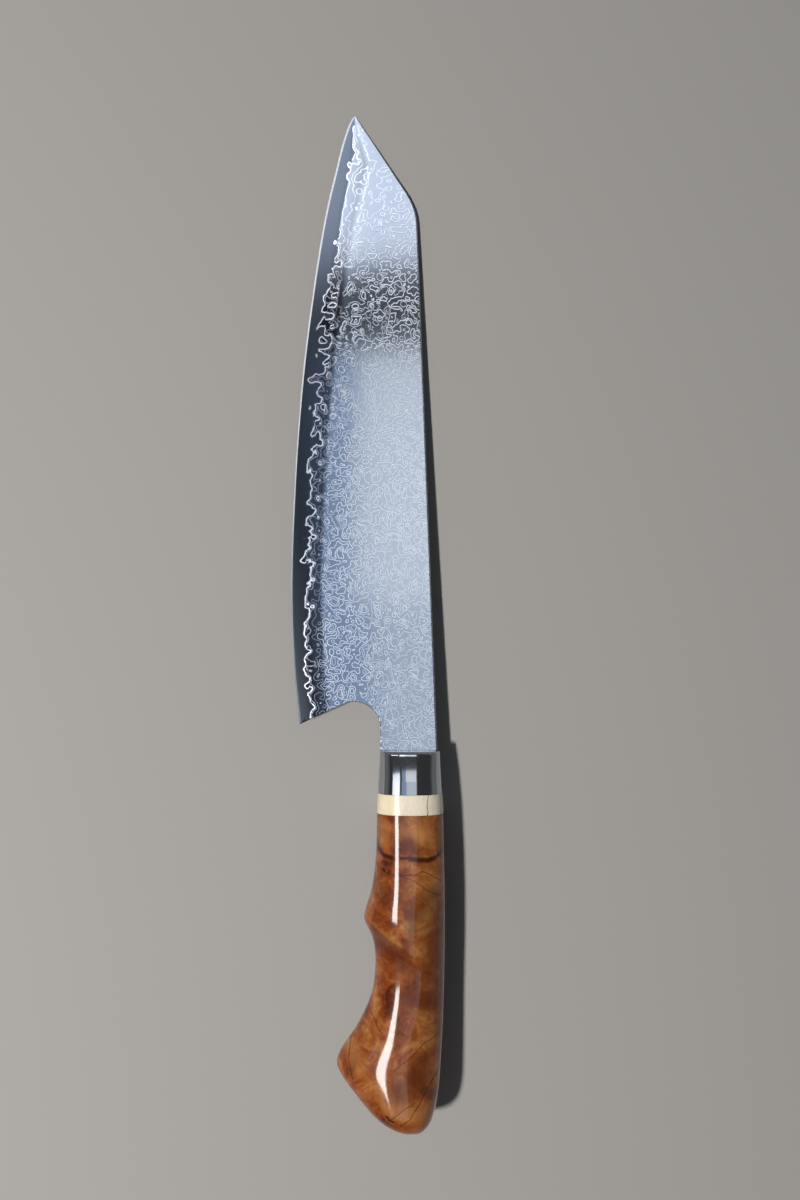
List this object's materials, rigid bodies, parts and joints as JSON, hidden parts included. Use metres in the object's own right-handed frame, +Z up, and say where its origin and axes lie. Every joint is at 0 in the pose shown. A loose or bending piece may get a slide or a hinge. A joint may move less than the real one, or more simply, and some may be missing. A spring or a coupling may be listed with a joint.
{
  "type": "gyuto kitchen knife",
  "caption": "Chef's knife with a straight clipped tip, a layered steel blade, a polished steel bolster, a bone spacer and a sculpted burl grip.",
  "frame": {"origin": "on the table under the middle of the knife's bounding box, the knife lying on its right side", "axes": "+Y along the tang towards the tip, +X towards the spine, +Z up through the blade's thickness"},
  "size_m": [0.0524, 0.3446, 0.0256],
  "materials": {
    "core_steel": "etched dark, bright ground edge",
    "damascus_steel": "etched, satin, fine layered pattern",
    "polished_steel": "mirror polish",
    "bone": "polished bone",
    "burl_wood": "high-gloss oil and resin",
    "epoxy": "cured resin, hidden",
    "dowel_steel": "plain, hidden"
  },
  "bodies": {
    "root": {"core_steel": "core_steel", "left_cladding": "damascus_steel", "right_cladding": "damascus_steel", "bolster": "polished_steel", "bone_spacer": "bone", "wood_grip": "burl_wood", "epoxy_bed": "epoxy", "belly_dowel": "dowel_steel", "back_dowel": "dowel_steel"}
  },
  "joints": []
}
